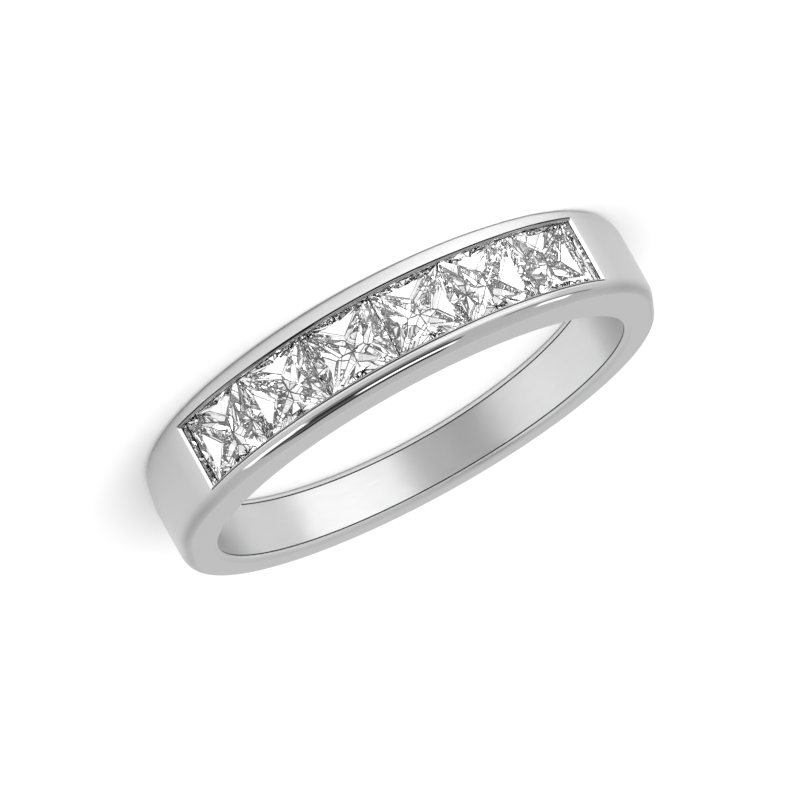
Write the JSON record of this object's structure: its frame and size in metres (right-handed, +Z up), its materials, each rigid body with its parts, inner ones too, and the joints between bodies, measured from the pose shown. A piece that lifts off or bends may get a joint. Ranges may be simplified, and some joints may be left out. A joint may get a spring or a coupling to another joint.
{
  "type": "half eternity ring",
  "caption": "Finger ring with a row of square stones held between rails over its top half, on a band that narrows towards the back.",
  "frame": {"origin": "the middle of the finger bore, on its axis, halfway between the two side faces", "axes": "-Y runs through the middle of the row of stones, +Y to the back of the finger, +X to the side with stone_1, +Z up. The ring lies on one side face, so the bore's axis leans 2.49 degrees from +Z towards +Y"},
  "size_m": [0.0196, 0.0207, 0.0039],
  "materials": {
    "band": "polished white precious metal, satin inside the bore",
    "stone": "polished, facet cut, clear and colourless"
  },
  "bodies": {
    "root": {"band": "band", "stone_1": "stone", "stone_2": "stone", "stone_3": "stone", "stone_4": "stone", "stone_5": "stone", "stone_6": "stone"}
  },
  "joints": []
}
